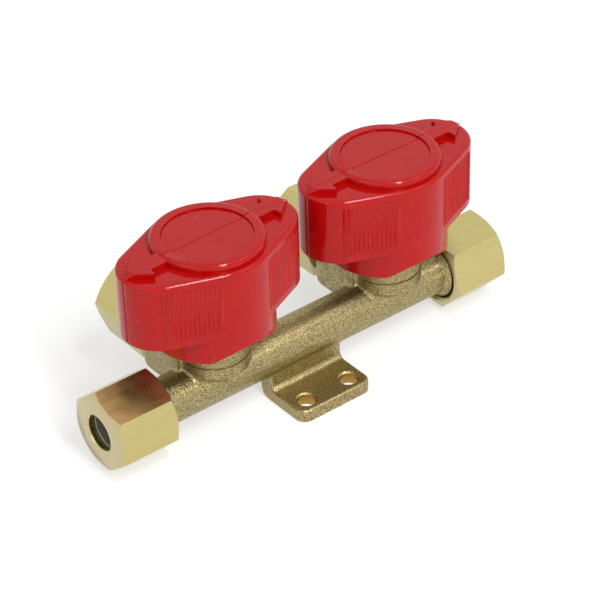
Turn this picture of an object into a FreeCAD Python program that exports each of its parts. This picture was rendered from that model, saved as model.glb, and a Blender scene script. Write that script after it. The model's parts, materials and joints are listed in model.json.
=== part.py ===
import FreeCAD, Part
import math
import os

# Two-way gas valve manifold: one cast brass line with two quarter-turn taper-plug valves.
# Gas runs along the line from end to end. Each valve lets it out through a branch at the back.
# Millimetres. X runs along the line, Y to the back where the branches leave, Z up.
# The origin is midway between the two screw holes, on the foot's mounting face.
# It is drawn closed, with both handles along the line and across their branches.

V = FreeCAD.Vector
TINY = 0.001                  # what counts as the same place
SMOOTH_TURN = 3.0             # faces that turn less than this, in degrees, meet smoothly
CORNER_STEP = 0.05            # step across an edge that tells a hollow corner
FULL_TURN = 360.0
UP = V(0, 0, 1)
ALONG = V(1, 0, 0)
BACK = V(0, 1, 0)

# Places of the main axes
VALVE_PITCH = 49.0            # from one valve axis to the other
VALVES_FROM_SCREWS = 2.65     # middle of the valves, to the right of the middle of the screws
AXIS_HEIGHT = 10.2            # line axis above the mounting face
AXIS_BEHIND_SCREWS = 12.0     # line axis behind the line of the screws
BRANCH_RISE = 5.27            # branch axis above the line axis

# Cast line, bosses and branch blocks
TUBE_RADIUS = 5.45
LINE_BORE_RADIUS = 3.0
BOSS_RADIUS = 8.0
BOSS_EDGE_RISE = 4.9          # lower edge of the boss, above the line axis
BOSS_FOOT_RISE = 2.3          # where the boss has tapered into the tube
BOSS_FOOT_RADIUS = 4.9
BOSS_ABOVE_BLOCK = 1.23       # top of the boss, above the top of the blocks
BOSS_GROOVE_RISE = 7.7
BOSS_GROOVE_WIDTH = 0.5
BOSS_GROOVE_DEPTH = 0.25
BOSS_GROOVE_START = 188.0      # the groove runs round the front only
BOSS_GROOVE_SPAN = 164.0
BLOCK_WIDTH = 18.2
BLOCK_HEIGHT = 14.0
BLOCK_EDGE_ROUND = 2.5
BLOCK_END_ROUND = 4.2
BLOCK_FRONT_ROUND = 0.6
BLOCK_FRONT = 0.3             # front face of the block, behind the valve axis
CASTING_ROUND = 1.0           # in every hollow corner of the casting

# Mounting foot
FOOT_WIDTH = 20.0
FOOT_THICK = 3.0
FOOT_FRONT_MARGIN = 3.75      # from the screw line to the front edge
FOOT_CORNER_ROUND = 2.5
FOOT_EDGE_ROUND = 0.7
WEB_THICK = 3.7
WEB_FRONT_OFFSET = 4.6        # front of the web, ahead of the line axis
WEB_INNER_ROUND = 1.4
WEB_OUTER_ROUND = 2.5
SCREW_SPACING = 12.0
SCREW_HOLE_RADIUS = 2.15
SCREW_HOLE_CHAMFER = 0.35

# Tube ports for 8 mm tube with cutting rings, and their M14 union nuts
LEFT_NUT_REACH = 16.0         # from the valve axis to the near face of the nut
RIGHT_NUT_REACH = 13.9
BRANCH_NUT_REACH = 17.45
LEFT_RELIEF_GAP = 0.4         # from the relief behind the thread to the nut
RIGHT_RELIEF_GAP = -0.7       # the right collar reaches into the nut's mouth
BRANCH_RELIEF_GAP = 0.65
COLLAR_RADIUS = 6.6
COLLAR_LENGTH = 0.3
FLARE_LENGTH = 1.15
RELIEF_RADIUS = 6.3
RELIEF_LENGTH = 1.3
THREAD_RADIUS = 7.0
THREAD_ENGAGED = 9.6          # from the near face of the nut to the end of the neck
NECK_CHAMFER = 0.6
SOCKET_RADIUS = 4.05
SOCKET_LENGTH = 4.0
CONE_LENGTH = 3.0
CONE_HALF_ANGLE = 12.0
NUT_ACROSS_FLATS = 17.0
NUT_LENGTH = 15.2
NUT_FACE_RADIUS = 8.15
NUT_CHAMFER_ANGLE = 30.0
NUT_MOUTH_CHAMFER = 0.65
NUT_BORE_RADIUS = 4.15
NUT_BORE_CHAMFER = 0.35
NUT_CONE_RADIUS = 6.3
NUT_CONE_ANGLE = 45.0
THREAD_RUNOUT = 1.0           # nut thread past the end of the neck
NUT_RECESS = 1.0              # from there to the nut's cone
RING_BORE_RADIUS = 4.1
RING_BITE_LENGTH = 2.0        # front of the ring inside the cone
RING_COLLAR_RADIUS = 5.7
RING_TAIL_RADIUS = 4.7
LINE_LEFT_TURN = 9.4           # how the hexagons are turned, degrees
LINE_RIGHT_TURN = 43.8
BRANCH_LEFT_TURN = 10.2
BRANCH_RIGHT_TURN = 12.1

# Taper plug and its chamber, heights above the line axis
CHAMBER_FLOOR_RISE = 2.2
CHAMBER_FLOOR_RADIUS = 3.75
CHAMBER_HALF_ANGLE = 8.0
PLUG_FLOOR_GAP = 0.2
PLUG_SINK = 0.3               # top of the plug, below the shoulder under the bonnet
PLUG_PORT_RADIUS = 1.9
SLOT_WIDTH = 2.0
SLOT_DEPTH = 1.0
SPRING_RADIUS = 4.2
SPRING_THICK = 0.4
SPRING_RISE = 0.7

# Spindle, seals and bonnet
SPINDLE_TAIL_RADIUS = 2.3
FLANGE_RADIUS = 5.2
FLANGE_THICK = 1.2
SPINDLE_RADIUS = 4.0
SQUARE_ACROSS_FLATS = 6.0
SQUARE_CORNER_RADIUS = 3.9
SQUARE_LENGTH = 6.6
SCREW_THREAD_RADIUS = 1.95
SCREW_HOLE_DEPTH = 9.0
SEAL_GROOVE_RADIUS = 3.1
SEAL_GROOVE_WIDTH = 1.2
SEAL_GROOVE_RISE = 1.9        # groove above the thrust washer
WASHER_THICK = 0.55
BONNET_THREAD_RADIUS = 6.3
BONNET_THREAD_LENGTH = 4.5    # from the top of the boss down to the shoulder
BONNET_WALL = 0.8
BONNET_ACROSS_FLATS = 14.4
BONNET_HEX_HEIGHT = 2.8
BONNET_NECK_RADIUS = 6.4
BONNET_NECK_HEIGHT = 0.6
FLAT_SEAL_THICK = 0.5
FLAT_SEAL_RADIUS = 7.7

# Quarter-turn stop between bonnet and handle
OPEN_ANGLE = 90.0
STOP_SPAN = 150.0
STOP_INNER_RADIUS = 4.9
STOP_HEIGHT = 1.8
STOP_GAP = 0.2
STOP_PLAY = 0.5               # degrees left at each end
STOP_START = 195.0
LEFT_HANDLE_TURN = 1.8        # how far the left handle stands off its stop in the photograph

# Handle shell
HANDLE_RADIUS = 14.0
TIP_CENTRE = 13.6             # middle of the round tip, from the valve axis
SIDE_ANGLE = 22.5
SKIRT_GAP = 0.4               # from the top of the boss to the round skirt
SKIRT_HEIGHT = 6.3            # from there to the underside of the wings
WING_HEIGHT = 16.0
TOP_EDGE_ROUND = 0.8
SKIRT_FLAT = 11.1             # where the bevel starts, ahead of the valve axis
SKIRT_BEVEL_SLOPE = 0.9
SHELL_WALL = 1.8
ROOF_THICK = 2.0
HUB_RADIUS = 6.6
HUB_FLOOR_THICK = 1.2
WEB_RIB_THICK = 1.6
WEB_RIB_HEIGHT = 9.0
CROWN_RADIUS = 12.56
CROWN_HEIGHT = 1.8
CROWN_ROUND = 1.0
RECESS_RADIUS = 9.94
CAP_THICK = 1.3
CAP_SINK = 0.4
CAP_PLUG_RADIUS = 4.9
CAP_PLUG_WALL = 0.7
CAP_PLUG_LENGTH = 2.2
WELL_RADIUS = 5.0
GRIP_RIBS = 13
GRIP_PITCH = 1.03
GRIP_START = 1.3              # first rib from the end of the round front
GRIP_WIDTH = 0.6
GRIP_HEIGHT = 0.22            # how far the ribs stand out
GRIP_FOOT = 1.6               # from the underside of the wings to the ribs
GRIP_LENGTH = 12.5
AXIS_LINE_WIDTH = 0.25        # fine line along the handle, on the crown, the disc and both tips
AXIS_LINE_DEPTH = 0.15

# Handle screw and its washer
SCREW_HEAD_RADIUS = 3.5
SCREW_HEAD_HEIGHT = 2.4
SCREW_LENGTH = 9.0
SCREW_DRIVE_WIDTH = 1.1
SCREW_DRIVE_DEPTH = 1.2
LOCK_WASHER_RADIUS = 4.3
LOCK_WASHER_THICK = 0.6

# Clearances
TURNING_FIT = 0.03            # plug in its cone
SHAFT_FIT = 0.05              # spindle in the bonnet, nut on the neck
CLOSE_FIT = 0.05              # pieces put together once
FACE_GAP = 0.05               # faces that slide over each other

# Sizes that follow
BOSS_TOP_RISE = BRANCH_RISE + BLOCK_HEIGHT / 2 + BOSS_ABOVE_BLOCK
CHAMBER_TOP_RISE = BOSS_TOP_RISE - BONNET_THREAD_LENGTH
PLUG_TOP_RISE = CHAMBER_TOP_RISE - PLUG_SINK
FLANGE_RISE = PLUG_TOP_RISE + 2 * (SPRING_RISE + SPRING_THICK)
FLANGE_TOP = FLANGE_RISE + FLANGE_THICK
WASHER_RISE = FLANGE_TOP + FACE_GAP
WASHER_TOP = WASHER_RISE + WASHER_THICK
BONNET_HEX_RISE = BOSS_TOP_RISE + FLAT_SEAL_THICK
BONNET_TOP = BONNET_HEX_RISE + BONNET_HEX_HEIGHT + BONNET_NECK_HEIGHT
HUB_RISE = BONNET_TOP + STOP_HEIGHT + STOP_GAP
SPINDLE_TOP = HUB_RISE + SQUARE_LENGTH
HUB_FLOOR = SPINDLE_TOP + STOP_GAP
HUB_SEAT = HUB_FLOOR + HUB_FLOOR_THICK
SKIRT_RISE = BOSS_TOP_RISE + SKIRT_GAP
WING_RISE = SKIRT_RISE + SKIRT_HEIGHT
HANDLE_TOP_RISE = WING_RISE + WING_HEIGHT
GRIP_BOTTOM_RISE = WING_RISE + GRIP_FOOT
GRIP_TOP_RISE = GRIP_BOTTOM_RISE + GRIP_LENGTH
ROOF_UNDERSIDE = HANDLE_TOP_RISE - ROOF_THICK
CROWN_TOP = HANDLE_TOP_RISE + CROWN_HEIGHT
CAP_SEAT = CROWN_TOP - CAP_SINK - CAP_THICK
LUG_SPAN = FULL_TURN - STOP_SPAN - OPEN_ANGLE - 2 * STOP_PLAY
TIP_ROUND = HANDLE_RADIUS - TIP_CENTRE * math.sin(math.radians(SIDE_ANGLE))
BLOCK_END = BRANCH_NUT_REACH - BRANCH_RELIEF_GAP
NUT_THREAD_END = THREAD_ENGAGED + THREAD_RUNOUT
NUT_CONE_START = NUT_THREAD_END + NUT_RECESS
CONE_SLOPE = math.tan(math.radians(NUT_CONE_ANGLE))
FOOT_CENTRE = -VALVES_FROM_SCREWS
FOOT_BOTTOM = -AXIS_HEIGHT
FOOT_FRONT = -AXIS_BEHIND_SCREWS - FOOT_FRONT_MARGIN


def cylinder(radius, start, end, axis=UP, foot=V(0, 0, 0)):
    """Cylinder about an axis through foot, from one distance along it to another."""
    return Part.makeCylinder(radius, end - start, foot + axis * start, axis)


def turned(profile, axis=UP, foot=V(0, 0, 0)):
    """Solid of revolution. The profile is a list of (distance along the axis, radius)."""
    points = [V(radius, 0, along) for along, radius in profile]
    face = Part.Face(Part.makePolygon(points + points[:1]))
    solid = face.revolve(V(0, 0, 0), UP, FULL_TURN)
    solid.Placement = FreeCAD.Placement(foot, FreeCAD.Rotation(UP, axis))
    return solid


def box(x0, x1, y0, y1, z0, z1):
    """Box between two corners."""
    return Part.makeBox(x1 - x0, y1 - y0, z1 - z0, V(x0, y0, z0))


def hexagon(across_flats, start, end, turn):
    """Hexagonal prism about Z with one corner at the angle turn from X."""
    corner = across_flats / 2 / math.cos(math.radians(30))
    angles = [math.radians(turn + 60 * i) for i in range(6)]
    points = [V(corner * math.cos(a), corner * math.sin(a), start) for a in angles]
    return Part.Face(Part.makePolygon(points + points[:1])).extrude(UP * (end - start))


def sector(inner, outer, start, end, first, span):
    """Part of a ring about Z, from the angle first through span degrees."""
    piece = Part.makeCylinder(outer, end - start, V(0, 0, start), UP, span)
    piece = piece.cut(cylinder(inner, start, end))
    piece.rotate(V(0, 0, 0), UP, first)
    return piece


def prism(points, start, end):
    """Upright prism over a plan outline given as (x, y) points."""
    corners = [V(x, y, start) for x, y in points]
    return Part.Face(Part.makePolygon(corners + corners[:1])).extrude(UP * (end - start))


def rounded(shape, radius, wanted):
    """Round the edges that the test wanted(edge) picks."""
    edges = [edge for edge in shape.Edges if wanted(edge)]
    return shape.makeFillet(radius, edges)


def is_level(edge, height):
    """True for an edge that lies wholly at one height."""
    limits = edge.BoundBox
    return abs(limits.ZMin - height) < TINY and abs(limits.ZMax - height) < TINY


def chamber_radius(rise):
    """Radius of the plug's cone at a height above the line axis."""
    slope = math.tan(math.radians(CHAMBER_HALF_ANGLE))
    return CHAMBER_FLOOR_RADIUS + (rise - CHAMBER_FLOOR_RISE) * slope


# Where each valve lies, and each port as (foot of its axis, axis, reach of its nut, turn of its nut)
VALVE_X = {"left": -VALVE_PITCH / 2, "right": VALVE_PITCH / 2}
PORTS = {
    "left": (V(VALVE_X["left"], 0, 0), -ALONG, LEFT_NUT_REACH, LINE_LEFT_TURN),
    "right": (V(VALVE_X["right"], 0, 0), ALONG, RIGHT_NUT_REACH, LINE_RIGHT_TURN),
    "branch_left": (V(VALVE_X["left"], 0, BRANCH_RISE), BACK, BRANCH_NUT_REACH, BRANCH_LEFT_TURN),
    "branch_right": (V(VALVE_X["right"], 0, BRANCH_RISE), BACK, BRANCH_NUT_REACH, BRANCH_RIGHT_TURN),
}
RELIEF_GAP = {"left": LEFT_RELIEF_GAP, "right": RIGHT_RELIEF_GAP,
              "branch_left": BRANCH_RELIEF_GAP, "branch_right": BRANCH_RELIEF_GAP}
GAS_BORE = {"left": LINE_BORE_RADIUS, "right": LINE_BORE_RADIUS,
            "branch_left": PLUG_PORT_RADIUS, "branch_right": PLUG_PORT_RADIUS}


def neck(port):
    """Threaded neck of a port with its relief, gas bore, tube socket and 24 degree cone."""
    port_foot, port_axis, reach, _ = PORTS[port]
    gas_bore = GAS_BORE[port]
    root = reach - RELIEF_GAP[port]
    end = reach + THREAD_ENGAGED
    relief_end = root + RELIEF_LENGTH
    thread = relief_end + THREAD_RADIUS - RELIEF_RADIUS
    profile = [(root, gas_bore), (root, RELIEF_RADIUS), (relief_end, RELIEF_RADIUS)]
    profile += [(thread, THREAD_RADIUS), (end - NECK_CHAMFER, THREAD_RADIUS)]
    profile += [(end, THREAD_RADIUS - NECK_CHAMFER)]
    mouth = SOCKET_RADIUS + CONE_LENGTH * math.tan(math.radians(CONE_HALF_ANGLE))
    straight_end = end - CONE_LENGTH
    stop = straight_end - SOCKET_LENGTH
    profile += [(end, mouth), (straight_end, SOCKET_RADIUS), (stop, SOCKET_RADIUS), (stop, gas_bore)]
    return turned(profile, port_axis, port_foot)


def line_end(port):
    """End of the line before a neck: the left widens a little, the right flares to a collar."""
    port_foot, port_axis, reach, _ = PORTS[port]
    root = reach - RELIEF_GAP[port]
    if port == "left":
        profile = [(root - RELIEF_RADIUS + TUBE_RADIUS, TUBE_RADIUS), (root, RELIEF_RADIUS)]
    else:
        collar = root - COLLAR_LENGTH
        profile = [(collar - FLARE_LENGTH, TUBE_RADIUS), (collar, COLLAR_RADIUS), (root, COLLAR_RADIUS)]
    start = profile[0][0]
    return turned([(start, LINE_BORE_RADIUS)] + profile + [(root, LINE_BORE_RADIUS)], port_axis, port_foot)


def boss(x):
    """Round boss about a valve axis, tapering down into the tube."""
    profile = [(0, 0), (0, BOSS_FOOT_RADIUS), (BOSS_FOOT_RISE, BOSS_FOOT_RADIUS)]
    profile += [(BOSS_EDGE_RISE, BOSS_RADIUS), (BOSS_TOP_RISE, BOSS_RADIUS), (BOSS_TOP_RISE, 0)]
    return turned(profile, UP, V(x, 0, 0))


def branch_block(x):
    """Block behind a boss that carries the branch neck, with its end and long edges rounded."""
    half_width = BLOCK_WIDTH / 2
    low = BRANCH_RISE - BLOCK_HEIGHT / 2
    top = low + BLOCK_HEIGHT
    block = box(x - half_width, x + half_width, BLOCK_FRONT, BLOCK_END, low, top)
    block = rounded(block, BLOCK_END_ROUND, lambda e: e.BoundBox.YMin > BLOCK_END - TINY
                    and e.BoundBox.ZLength > BLOCK_HEIGHT / 2)
    block = rounded(block, BLOCK_EDGE_ROUND, lambda e: (is_level(e, low) or is_level(e, top))
                    and e.BoundBox.YMax > BLOCK_FRONT + TINY)
    return rounded(block, BLOCK_FRONT_ROUND, lambda e: e.BoundBox.YMax < BLOCK_FRONT + TINY)


def foot():
    """Mounting foot: a web down from the tube, and a plate forward from its lower edge."""
    left = FOOT_CENTRE - FOOT_WIDTH / 2
    right = FOOT_CENTRE + FOOT_WIDTH / 2
    web_front = -WEB_FRONT_OFFSET
    web_back = web_front + WEB_THICK
    plate_top = FOOT_BOTTOM + FOOT_THICK
    outline = [V(left, FOOT_FRONT, FOOT_BOTTOM), V(left, web_back, FOOT_BOTTOM), V(left, web_back, 0)]
    outline += [V(left, web_front, 0), V(left, web_front, plate_top), V(left, FOOT_FRONT, plate_top)]
    body = Part.Face(Part.makePolygon(outline + outline[:1])).extrude(ALONG * (right - left))

    def runs_at(edge, y, z):
        limits = edge.BoundBox
        is_there = abs(limits.YMin - y) < TINY and abs(limits.ZMin - z) < TINY
        return is_there and limits.XLength > FOOT_WIDTH / 2

    body = rounded(body, WEB_INNER_ROUND, lambda e: runs_at(e, web_front, plate_top))
    body = rounded(body, WEB_OUTER_ROUND, lambda e: runs_at(e, web_back, FOOT_BOTTOM))
    body = rounded(body, FOOT_CORNER_ROUND, lambda e: e.BoundBox.ZLength > FOOT_THICK / 2
                   and e.BoundBox.YMax < FOOT_FRONT + TINY)
    body = rounded(body, FOOT_EDGE_ROUND, lambda e: is_level(e, plate_top)
                   and e.BoundBox.YMin < web_front - WEB_THICK)
    for side in (-1, 1):
        centre = V(FOOT_CENTRE + side * SCREW_SPACING / 2, -AXIS_BEHIND_SCREWS, 0)
        rim = SCREW_HOLE_RADIUS + SCREW_HOLE_CHAMFER
        hole = [(FOOT_BOTTOM, 0), (FOOT_BOTTOM, SCREW_HOLE_RADIUS)]
        hole += [(plate_top - SCREW_HOLE_CHAMFER, SCREW_HOLE_RADIUS), (plate_top, rim), (plate_top, 0)]
        body = body.cut(turned(hole, UP, centre))
    return body


def is_hollow_corner(shape, edge):
    """True for an edge along which two faces meet in a hollow corner."""
    faces = shape.ancestorsOfType(edge, Part.Face)
    if len(faces) != 2:
        return False
    middle = edge.valueAt((edge.FirstParameter + edge.LastParameter) / 2)
    normals = [face.normalAt(*face.Surface.parameter(middle)) for face in faces]
    if math.degrees(normals[0].getAngle(normals[1])) < SMOOTH_TURN:
        return False
    step = (normals[0] - normals[1]) * CORNER_STEP
    return shape.isInside(middle + step, TINY, False) and shape.isInside(middle - step, TINY, False)


def manifold_body():
    """The brass casting up to the roots of its necks: line, bosses, branch blocks and foot."""
    line_start = VALVE_X["left"] - LEFT_NUT_REACH + LEFT_RELIEF_GAP
    line_stop = VALVE_X["right"] + RIGHT_NUT_REACH - RIGHT_RELIEF_GAP
    solids = [foot()]
    for x in VALVE_X.values():
        solids += [boss(x), branch_block(x)]
    body = cylinder(TUBE_RADIUS, line_start, line_stop, ALONG).multiFuse(solids).removeSplitter()
    body = rounded(body, CASTING_ROUND, lambda e: is_hollow_corner(body, e))
    ends = [line_end("left"), line_end("right")]
    ends += [cylinder(RELIEF_RADIUS, BOSS_RADIUS, BLOCK_END, BACK, PORTS["branch_" + side][0])
             for side in VALVE_X]
    body = body.multiFuse(ends).removeSplitter()

    bores = [cylinder(LINE_BORE_RADIUS, line_start, line_stop, ALONG)]
    top_radius = chamber_radius(CHAMBER_TOP_RISE)
    chamber = [(CHAMBER_FLOOR_RISE, 0), (CHAMBER_FLOOR_RISE, CHAMBER_FLOOR_RADIUS)]
    chamber += [(CHAMBER_TOP_RISE, top_radius), (CHAMBER_TOP_RISE, BONNET_THREAD_RADIUS)]
    chamber += [(BOSS_TOP_RISE, BONNET_THREAD_RADIUS), (BOSS_TOP_RISE, 0)]
    for side, x in VALVE_X.items():
        bores += [turned(chamber, UP, V(x, 0, 0))]
        bores += [cylinder(PLUG_PORT_RADIUS, 0, BRANCH_NUT_REACH, BACK, PORTS["branch_" + side][0])]
        groove = sector(BOSS_RADIUS - BOSS_GROOVE_DEPTH, BOSS_RADIUS + CASTING_ROUND, BOSS_GROOVE_RISE,
                        BOSS_GROOVE_RISE + BOSS_GROOVE_WIDTH, BOSS_GROOVE_START, BOSS_GROOVE_SPAN)
        groove.translate(V(x, 0, 0))
        bores += [groove]
    return body.cut(bores)


def union_nut(port):
    """Hexagon union nut with thread, inner cone and tube bore, where its port holds it."""
    port_foot, port_axis, reach, turn = PORTS[port]
    cone_end = NUT_CONE_START + (NUT_CONE_RADIUS - NUT_BORE_RADIUS) / CONE_SLOPE
    corner = NUT_ACROSS_FLATS / 2 / math.cos(math.radians(30)) + SHAFT_FIT
    bevel = (corner - NUT_FACE_RADIUS) * math.tan(math.radians(NUT_CHAMFER_ANGLE))
    outside = [(0, 0), (0, NUT_FACE_RADIUS), (bevel, corner), (NUT_LENGTH - bevel, corner)]
    outside += [(NUT_LENGTH, NUT_FACE_RADIUS), (NUT_LENGTH, 0)]
    thread = THREAD_RADIUS + SHAFT_FIT
    inside = [(0, 0), (0, thread + NUT_MOUTH_CHAMFER), (NUT_MOUTH_CHAMFER, thread)]
    inside += [(NUT_THREAD_END, thread), (NUT_THREAD_END, NUT_CONE_RADIUS)]
    inside += [(NUT_CONE_START, NUT_CONE_RADIUS), (cone_end, NUT_BORE_RADIUS)]
    inside += [(NUT_LENGTH - NUT_BORE_CHAMFER, NUT_BORE_RADIUS)]
    inside += [(NUT_LENGTH, NUT_BORE_RADIUS + NUT_BORE_CHAMFER), (NUT_LENGTH, 0)]
    nut = hexagon(NUT_ACROSS_FLATS, 0, NUT_LENGTH, turn).common(turned(outside)).cut(turned(inside))
    nut.Placement = FreeCAD.Placement(port_foot + port_axis * reach, FreeCAD.Rotation(UP, port_axis))
    return nut


def cutting_ring(port):
    """Cutting ring between the neck's cone and the nut's cone."""
    port_foot, port_axis, reach, _ = PORTS[port]
    slope = math.tan(math.radians(CONE_HALF_ANGLE))
    front = THREAD_ENGAGED - RING_BITE_LENGTH
    front_radius = SOCKET_RADIUS + (CONE_LENGTH - RING_BITE_LENGTH) * slope - CLOSE_FIT
    mouth_radius = SOCKET_RADIUS + CONE_LENGTH * slope - CLOSE_FIT
    seat_gap = FACE_GAP / math.sin(math.radians(NUT_CONE_ANGLE))
    back_start = NUT_CONE_START + (NUT_CONE_RADIUS - RING_COLLAR_RADIUS) / CONE_SLOPE - seat_gap
    back_end = back_start + (RING_COLLAR_RADIUS - RING_TAIL_RADIUS) / CONE_SLOPE
    rise = RING_COLLAR_RADIUS - mouth_radius
    profile = [(front, RING_BORE_RADIUS), (front, front_radius), (THREAD_ENGAGED, mouth_radius)]
    profile += [(THREAD_ENGAGED + rise, RING_COLLAR_RADIUS), (back_start, RING_COLLAR_RADIUS)]
    profile += [(back_end, RING_TAIL_RADIUS), (back_end, RING_BORE_RADIUS)]
    ring = turned(profile)
    ring.Placement = FreeCAD.Placement(port_foot + port_axis * reach, FreeCAD.Rotation(UP, port_axis))
    return ring


def plug():
    """Tapered plug with a bottom entry and one side port, which faces along the line when closed."""
    bottom = CHAMBER_FLOOR_RISE + PLUG_FLOOR_GAP
    profile = [(bottom, 0), (bottom, chamber_radius(bottom) - TURNING_FIT)]
    profile += [(PLUG_TOP_RISE, chamber_radius(PLUG_TOP_RISE) - TURNING_FIT), (PLUG_TOP_RISE, 0)]
    body = turned(profile)
    entry = cylinder(PLUG_PORT_RADIUS, bottom, BRANCH_RISE)
    port = cylinder(PLUG_PORT_RADIUS, 0, BOSS_RADIUS, ALONG, V(0, 0, BRANCH_RISE))
    half = SLOT_WIDTH / 2
    slot = box(-half, half, -BOSS_RADIUS, BOSS_RADIUS, PLUG_TOP_RISE - SLOT_DEPTH, PLUG_TOP_RISE)
    return body.cut([entry.fuse(port), slot])


def disc_spring(inner_rise, outer_rise):
    """Disc spring, by the heights of its lower face at its inner and outer edge."""
    inner = SPINDLE_TAIL_RADIUS + CLOSE_FIT
    profile = [(inner_rise, inner), (outer_rise, SPRING_RADIUS), (outer_rise + SPRING_THICK, SPRING_RADIUS)]
    return turned(profile + [(inner_rise + SPRING_THICK, inner)])


def lower_spring():
    """Disc spring that presses the plug down into its cone with its outer edge."""
    return disc_spring(PLUG_TOP_RISE + SPRING_RISE, PLUG_TOP_RISE)


def upper_spring():
    """Disc spring the other way up, between the lower one and the spindle's flange."""
    return disc_spring(FLANGE_RISE - SPRING_RISE - SPRING_THICK, FLANGE_RISE - SPRING_THICK)


def spindle():
    """Spindle: tongue, tail, thrust flange, round shank with seal groove, and square."""
    groove = WASHER_TOP + SEAL_GROOVE_RISE
    groove_end = groove + SEAL_GROOVE_WIDTH
    profile = [(PLUG_TOP_RISE, 0), (PLUG_TOP_RISE, SPINDLE_TAIL_RADIUS), (FLANGE_RISE, SPINDLE_TAIL_RADIUS)]
    profile += [(FLANGE_RISE, FLANGE_RADIUS), (FLANGE_TOP, FLANGE_RADIUS), (FLANGE_TOP, SPINDLE_RADIUS)]
    profile += [(groove, SPINDLE_RADIUS), (groove, SEAL_GROOVE_RADIUS)]
    profile += [(groove_end, SEAL_GROOVE_RADIUS), (groove_end, SPINDLE_RADIUS)]
    profile += [(HUB_RISE, SPINDLE_RADIUS), (HUB_RISE, 0)]
    body = turned(profile)
    half = SQUARE_ACROSS_FLATS / 2
    square = box(-half, half, -half, half, HUB_RISE, SPINDLE_TOP)
    square = square.common(cylinder(SQUARE_CORNER_RADIUS, HUB_RISE, SPINDLE_TOP))
    half_tongue = SLOT_WIDTH / 2 - CLOSE_FIT
    tongue = box(-half_tongue, half_tongue, -SPINDLE_TAIL_RADIUS, SPINDLE_TAIL_RADIUS,
                 PLUG_TOP_RISE - SLOT_DEPTH + STOP_GAP, PLUG_TOP_RISE)
    tongue = tongue.common(cylinder(SPINDLE_TAIL_RADIUS, 0, PLUG_TOP_RISE))
    hole = cylinder(SCREW_THREAD_RADIUS + CLOSE_FIT, SPINDLE_TOP - SCREW_HOLE_DEPTH, SPINDLE_TOP)
    return body.multiFuse([square, tongue]).removeSplitter().cut(hole)


def spindle_seal():
    """Rubber ring in the spindle's groove, with eight flats to its section."""
    middle = (SPINDLE_RADIUS + SEAL_GROOVE_RADIUS) / 2
    height = WASHER_TOP + SEAL_GROOVE_RISE + SEAL_GROOVE_WIDTH / 2
    corner = (SPINDLE_RADIUS - SEAL_GROOVE_RADIUS) / 2 / math.cos(math.pi / 8)
    angles = [math.pi / 8 + math.pi / 4 * i for i in range(8)]
    return turned([(height + corner * math.sin(a), middle + corner * math.cos(a)) for a in angles])


def thrust_washer():
    """Slippery washer between the spindle's flange and the bonnet."""
    inner = SPINDLE_RADIUS + SHAFT_FIT
    outer = BONNET_THREAD_RADIUS - BONNET_WALL - CLOSE_FIT
    return turned([(WASHER_RISE, inner), (WASHER_RISE, outer), (WASHER_TOP, outer), (WASHER_TOP, inner)])


def bonnet():
    """Screwed bonnet with its hexagon, and the fixed half of the quarter-turn stop."""
    outer = BONNET_THREAD_RADIUS - CLOSE_FIT
    inner = BONNET_THREAD_RADIUS - BONNET_WALL
    bore = SPINDLE_RADIUS + SHAFT_FIT
    low = CHAMBER_TOP_RISE + FACE_GAP
    profile = [(low, inner), (low, outer), (BONNET_TOP, outer), (BONNET_TOP, bore), (WASHER_TOP, bore)]
    profile += [(WASHER_TOP, inner)]
    hexagon_top = BONNET_HEX_RISE + BONNET_HEX_HEIGHT
    head = hexagon(BONNET_ACROSS_FLATS, BONNET_HEX_RISE, hexagon_top, 0)
    neck = cylinder(BONNET_NECK_RADIUS, BONNET_HEX_RISE, BONNET_TOP)
    stop = sector(STOP_INNER_RADIUS, BONNET_NECK_RADIUS, BONNET_TOP, BONNET_TOP + STOP_HEIGHT,
                  STOP_START, STOP_SPAN)
    outside = head.multiFuse([neck, stop]).cut(cylinder(bore, 0, HANDLE_TOP_RISE))
    return turned(profile).fuse(outside).removeSplitter()


def bonnet_seal():
    """Flat seal ring between the boss and the bonnet's hexagon."""
    inner = BONNET_THREAD_RADIUS + CLOSE_FIT
    return turned([(BOSS_TOP_RISE, inner), (BOSS_TOP_RISE, FLAT_SEAL_RADIUS),
                   (BONNET_HEX_RISE, FLAT_SEAL_RADIUS), (BONNET_HEX_RISE, inner)])


def handle_outline(inset, start, end):
    """Upright prism of the handle's plan: a round middle and round tips, joined by straight sides."""
    slant = math.radians(SIDE_ANGLE)
    middle_radius = HANDLE_RADIUS - inset
    tip_radius = TIP_ROUND - inset
    x = middle_radius * math.sin(slant)
    y = middle_radius * math.cos(slant)
    far_x = TIP_CENTRE + tip_radius * math.sin(slant)
    far_y = tip_radius * math.cos(slant)
    right = [(far_x, -far_y), (far_x, far_y), (x, y)]
    left = [(-x, y), (-far_x, far_y), (-far_x, -far_y), (-x, -y), (x, -y)]
    rounds = [cylinder(middle_radius, start, end)]
    rounds += [cylinder(tip_radius, start, end, UP, ALONG * (side * TIP_CENTRE)) for side in (-1, 1)]
    return prism(right + left, start, end).multiFuse(rounds).removeSplitter()


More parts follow.
